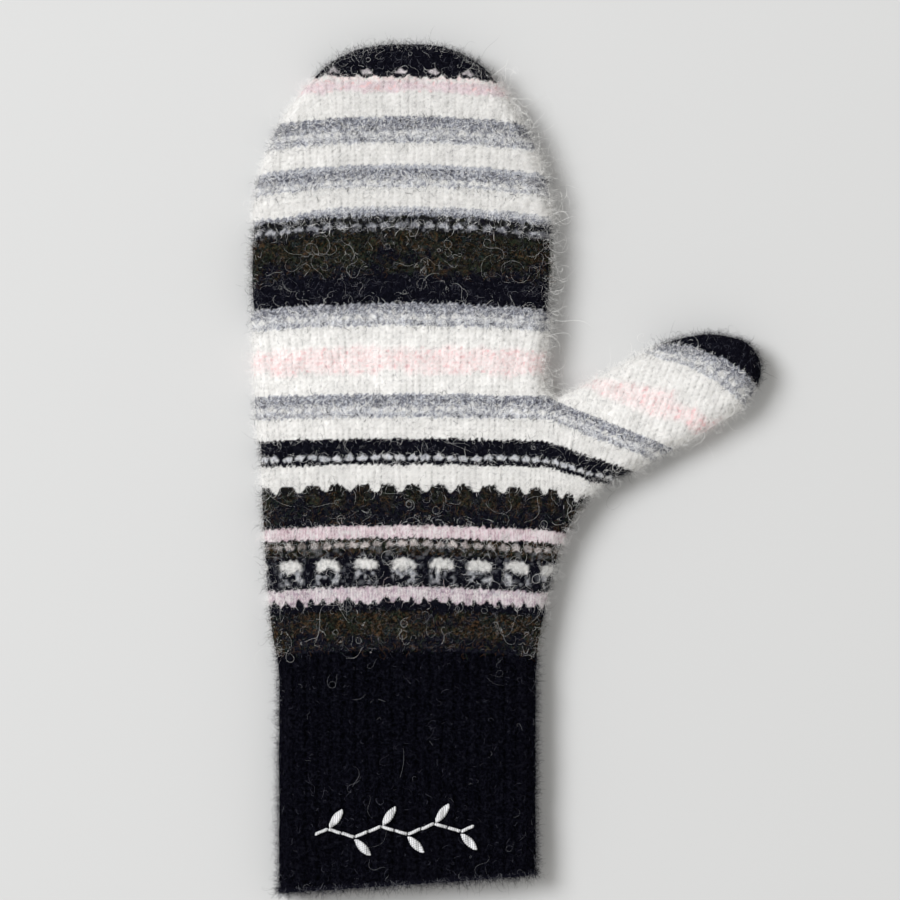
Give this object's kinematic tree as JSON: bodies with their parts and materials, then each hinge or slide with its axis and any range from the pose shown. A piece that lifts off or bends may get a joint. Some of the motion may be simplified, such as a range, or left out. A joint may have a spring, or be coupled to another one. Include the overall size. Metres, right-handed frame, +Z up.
{
  "type": "knitted mitten",
  "caption": "Felted striped wool mitten lying flat, with a ribbed cuff, a gusseted thumb and a small embroidered sprig.",
  "frame": {"origin": "on the surface the mitten lies on, under the middle of its box", "axes": "+Y towards the fingertips, +X towards the thumb, +Z up through the two layers of fabric, out of the embroidered side"},
  "size_m": [0.1705, 0.2826, 0.0147],
  "materials": {
    "yarn_white": "felted knitted wool, undyed white",
    "yarn_grey": "felted knitted wool, grey marl",
    "yarn_pink": "felted knitted wool, pale pink",
    "yarn_navy": "felted knitted wool, navy near black",
    "yarn_olive": "felted knitted wool, dark olive and brown tweed",
    "yarn_cuff": "ribbed knitted wool, navy near black",
    "thread": "white embroidery thread"
  },
  "bodies": {
    "palm": {"knuckle_stripe_01_grey": "yarn_grey", "knuckle_stripe_02_white": "yarn_white", "knuckle_stripe_03_pink": "yarn_pink", "knuckle_stripe_04_white": "yarn_white", "palm_stripe_01_grey": "yarn_grey", "palm_stripe_02_white": "yarn_white", "palm_stripe_03_navy_fleck": "yarn_navy", "palm_stripe_04_white": "yarn_white", "palm_stripe_05_olive_points": "yarn_olive", "palm_stripe_06_pink": "yarn_pink", "palm_stripe_07_olive_fleck": "yarn_olive", "palm_stripe_08_navy_blocks": "yarn_navy", "wrist_stripe_01_pink": "yarn_pink", "wrist_stripe_02_navy": "yarn_navy", "wrist_stripe_03_olive": "yarn_olive", "thumb_stripe_01_white": "yarn_white", "thumb_stripe_02_pink": "yarn_pink", "crotch_darning_stitches": "yarn_white"},
    "fingers": {"fingertip_cap_navy": "yarn_navy", "hand_stripe_01_pink": "yarn_pink", "hand_stripe_02_white": "yarn_white", "hand_stripe_03_grey": "yarn_grey", "hand_stripe_04_white": "yarn_white", "hand_stripe_05_grey": "yarn_grey", "hand_stripe_06_white": "yarn_white", "hand_stripe_07_grey": "yarn_grey", "hand_stripe_08_olive": "yarn_olive", "hand_stripe_09_navy": "yarn_navy", "fingertip_grafting_yarn": "yarn_navy"},
    "thumb": {"thumb_stripe_03_white": "yarn_white", "thumb_stripe_04_grey": "yarn_grey", "thumb_tip_cap_navy": "yarn_navy", "thumb_tip_grafting_yarn": "yarn_navy"},
    "cuff": {"cuff_rib": "yarn_cuff", "cuff_cast_on_edge": "yarn_cuff", "cuff_linking_yarn": "yarn_cuff", "cuff_embroidery": "thread"}
  },
  "joints": [
    {"name": "knuckle_bend", "type": "hinge", "parent": "palm", "child": "fingers", "pos_m": [-0.0345, 0.0389, 0.007], "axis": [1, 0, 0], "range_deg": [0, 80], "deforming": ["knuckle_stripe_01_grey", "knuckle_stripe_02_white", "knuckle_stripe_03_pink", "knuckle_stripe_04_white"]},
    {"name": "thumb_fold", "type": "hinge", "parent": "palm", "child": "thumb", "pos_m": [0.045, 0.0185, 0.007], "axis": [0.94, -0.3412, 0], "range_deg": [0, 60], "deforming": ["thumb_stripe_01_white", "thumb_stripe_02_pink"]},
    {"name": "wrist_bend", "type": "hinge", "parent": "palm", "child": "cuff", "pos_m": [-0.0322, -0.051, 0.007], "axis": [-1, 0, 0], "range_deg": [0, 60], "deforming": ["wrist_stripe_01_pink", "wrist_stripe_02_navy", "wrist_stripe_03_olive"]}
  ]
}
